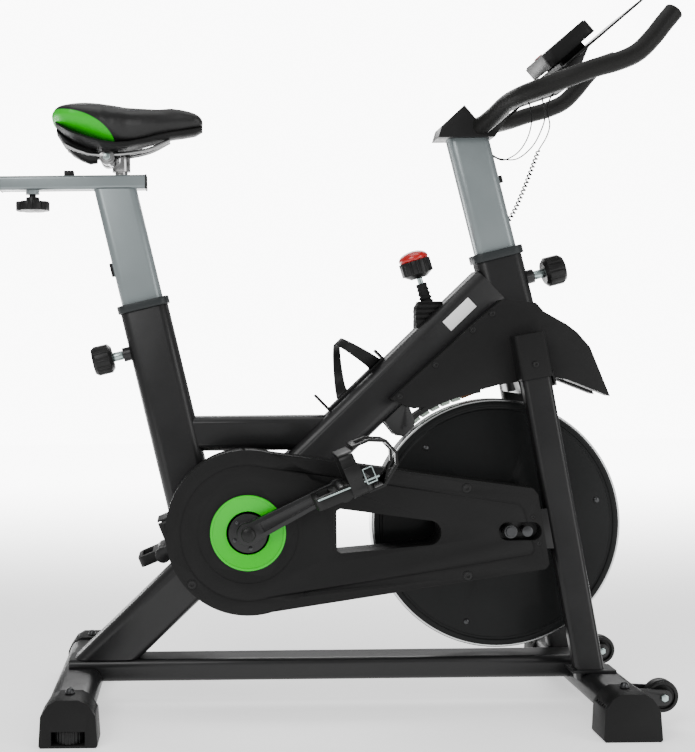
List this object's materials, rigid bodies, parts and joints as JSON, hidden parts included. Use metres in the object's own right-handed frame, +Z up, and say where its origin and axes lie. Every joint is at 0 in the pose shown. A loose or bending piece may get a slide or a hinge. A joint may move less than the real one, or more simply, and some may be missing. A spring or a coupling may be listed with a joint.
{
  "type": "exercise bike",
  "caption": "Indoor cycling bike with a slanted main beam, belt-driven flywheel, adjustable saddle and handlebar posts, toe-cage pedals, console and tablet rest.",
  "frame": {"origin": "on the floor, at the middle of the object's length and width", "axes": "+X to the front (handlebar), +Y to the rider's left, +Z up"},
  "size_m": [1.1382, 0.49, 1.2272],
  "materials": {
    "frame_paint": "satin black powder coat",
    "post_paint": "satin light grey powder coat",
    "dark_plastic": "fine textured",
    "collar_plastic": "matt dark grey",
    "green_plastic": "satin lime green",
    "black_plastic": "satin",
    "zinc": "zinc plated",
    "chrome": "polished",
    "flywheel_rim": "ground steel",
    "flywheel_paint": "satin black",
    "black_rubber": "matt",
    "foam": "matt foam grip",
    "magnet": "pale grey green",
    "saddle_vinyl": "black and green vinyl",
    "black_oxide": "blackened steel",
    "red_plastic": "glossy red"
  },
  "bodies": {
    "frame": {"main_beam": "frame_paint", "seat_tube": "frame_paint", "cross_tube": "frame_paint", "head_tube": "frame_paint", "fork_leg_right": "frame_paint", "fork_leg_left": "frame_paint", "base_tube": "frame_paint", "rear_stabilizer": "frame_paint", "front_stabilizer": "frame_paint", "end_caps": "dark_plastic", "frame_fasteners": "black_oxide", "post_collars": "collar_plastic", "belt_guard_outer": "dark_plastic", "belt_guard_inner": "dark_plastic", "guard_ring": "green_plastic", "cover_screws": "black_plastic", "head_shroud": "dark_plastic", "drive_belt": "black_rubber", "brake_housing": "dark_plastic", "brake_bellows": "black_rubber", "bottle_cage": "dark_plastic", "flywheel_axle": "black_oxide"},
    "transport_wheel_right": {"transport_wheel_right": "black_plastic"},
    "transport_wheel_left": {"transport_wheel_left": "black_plastic"},
    "leveller_right": {"leveller_right": "black_plastic"},
    "leveller_left": {"leveller_left": "black_plastic"},
    "flywheel": {"flywheel": "flywheel_rim", "flywheel_discs": "flywheel_paint", "flywheel_pulley": "zinc"},
    "crank": {"crank_axle": "zinc", "crank_pulley": "dark_plastic", "crank_right": "frame_paint", "crank_left": "frame_paint"},
    "pedal_right": {"pedal_right": "black_plastic", "toe_cage_right": "black_plastic"},
    "pedal_left": {"pedal_left": "black_plastic", "toe_cage_left": "black_plastic"},
    "brake_rod": {"brake_rod": "zinc"},
    "brake_knob": {"brake_knob": "black_plastic"},
    "brake_arm": {"brake_arm": "frame_paint", "brake_magnets": "magnet"},
    "seat_post": {"seat_post": "post_paint", "slider_tube": "post_paint"},
    "seat_carriage": {"seat_carriage": "chrome"},
    "saddle": {"saddle_rails": "chrome", "saddle_base": "dark_plastic", "saddle_cushion": "saddle_vinyl"},
    "seat_pin": {"seat_pin": "zinc", "seat_knob": "black_plastic"},
    "front_pin": {"front_pin": "zinc", "front_knob": "black_plastic"},
    "slider_knob": {"slider_knob": "black_plastic"},
    "front_post": {"front_post": "post_paint", "handlebar_mount": "black_plastic", "handlebar": "foam", "console_case": "black_plastic", "tablet_rest": "black_plastic", "thin_wires": "black_rubber", "curly_cord": "black_rubber"},
    "console_button": {"console_button": "red_plastic"}
  },
  "joints": [
    {"name": "crank_spin", "type": "hinge", "parent": "frame", "child": "crank", "pos_m": [-0.13964, 0, 0.32], "axis": [0, 1, 0], "continuous": true},
    {"name": "flywheel_spin", "type": "hinge", "parent": "frame", "child": "flywheel", "pos_m": [0.30336, 0, 0.318], "axis": [0, 1, 0], "continuous": true},
    {"name": "pedal_right_spin", "type": "hinge", "parent": "crank", "child": "pedal_right", "pos_m": [0.01183, -0.19, 0.39718], "axis": [0, 1, 0], "continuous": true},
    {"name": "pedal_left_spin", "type": "hinge", "parent": "crank", "child": "pedal_left", "pos_m": [-0.29111, 0.19, 0.24282], "axis": [0, 1, 0], "continuous": true},
    {"name": "seat_height", "type": "slide", "parent": "frame", "child": "seat_post", "axis": [-0.225, 0, 0.9744], "range_m": [-0.05, 0.08]},
    {"name": "saddle_fore_aft", "type": "slide", "parent": "seat_post", "child": "seat_carriage", "axis": [1, 0, 0], "range_m": [-0.04, 0.015]},
    {"name": "saddle_tilt", "type": "hinge", "parent": "seat_carriage", "child": "saddle", "pos_m": [-0.37814, 0, 0.972], "axis": [0, 1, 0], "range_deg": [-8, 8]},
    {"name": "handlebar_height", "type": "slide", "parent": "frame", "child": "front_post", "axis": [-0.2334, 0, 0.9724], "range_m": [-0.035, 0.03]},
    {"name": "seat_pin_pull", "type": "slide", "parent": "frame", "child": "seat_pin", "axis": [-0.9744, 0, -0.225], "range_m": [0, 0.012], "stiffness_N_per_m": 900},
    {"name": "front_pin_pull", "type": "slide", "parent": "frame", "child": "front_pin", "axis": [0.9724, 0, 0.2334], "range_m": [0, 0.012], "stiffness_N_per_m": 900},
    {"name": "slider_knob_turn", "type": "hinge", "parent": "seat_post", "child": "slider_knob", "pos_m": [-0.51314, 0, 0.89], "axis": [0, 0, 1], "range_deg": [-180, 180]},
    {"name": "brake_push", "type": "slide", "parent": "frame", "child": "brake_rod", "axis": [0.2857, 0, -0.9583], "range_m": [0, 0.003], "stiffness_N_per_m": 3000},
    {"name": "brake_knob_turn", "type": "hinge", "parent": "brake_rod", "child": "brake_knob", "pos_m": [0.16986, 0, 0.773], "axis": [-0.2857, 0, 0.9583], "range_deg": [-180, 180]},
    {"name": "brake_arm_swing", "type": "hinge", "parent": "frame", "child": "brake_arm", "pos_m": [0.14336, 0, 0.489], "axis": [0, 1, 0], "range_deg": [0, 1.7]},
    {"name": "transport_wheel_right_roll", "type": "hinge", "parent": "frame", "child": "transport_wheel_right", "pos_m": [0.54036, -0.157, 0.05], "axis": [0, 1, 0], "continuous": true},
    {"name": "transport_wheel_left_roll", "type": "hinge", "parent": "frame", "child": "transport_wheel_left", "pos_m": [0.54036, 0.157, 0.05], "axis": [0, 1, 0], "continuous": true},
    {"name": "leveller_right_turn", "type": "hinge", "parent": "frame", "child": "leveller_right", "pos_m": [-0.43364, -0.22, 0.015], "axis": [0, 0, 1], "range_deg": [-180, 180]},
    {"name": "leveller_left_turn", "type": "hinge", "parent": "frame", "child": "leveller_left", "pos_m": [-0.43364, 0.22, 0.015], "axis": [0, 0, 1], "range_deg": [-180, 180]},
    {"name": "console_button_press", "type": "slide", "parent": "front_post", "child": "console_button", "axis": [0.6428, 0, -0.766], "range_m": [0, 0.0015], "stiffness_N_per_m": 500}
  ],
  "couplings": [
    {"joint": "crank_spin", "follows": "flywheel_spin", "ratio": 0.25},
    {"joint": "brake_arm_swing", "follows": "brake_push", "rad_per_m": 9.47}
  ]
}
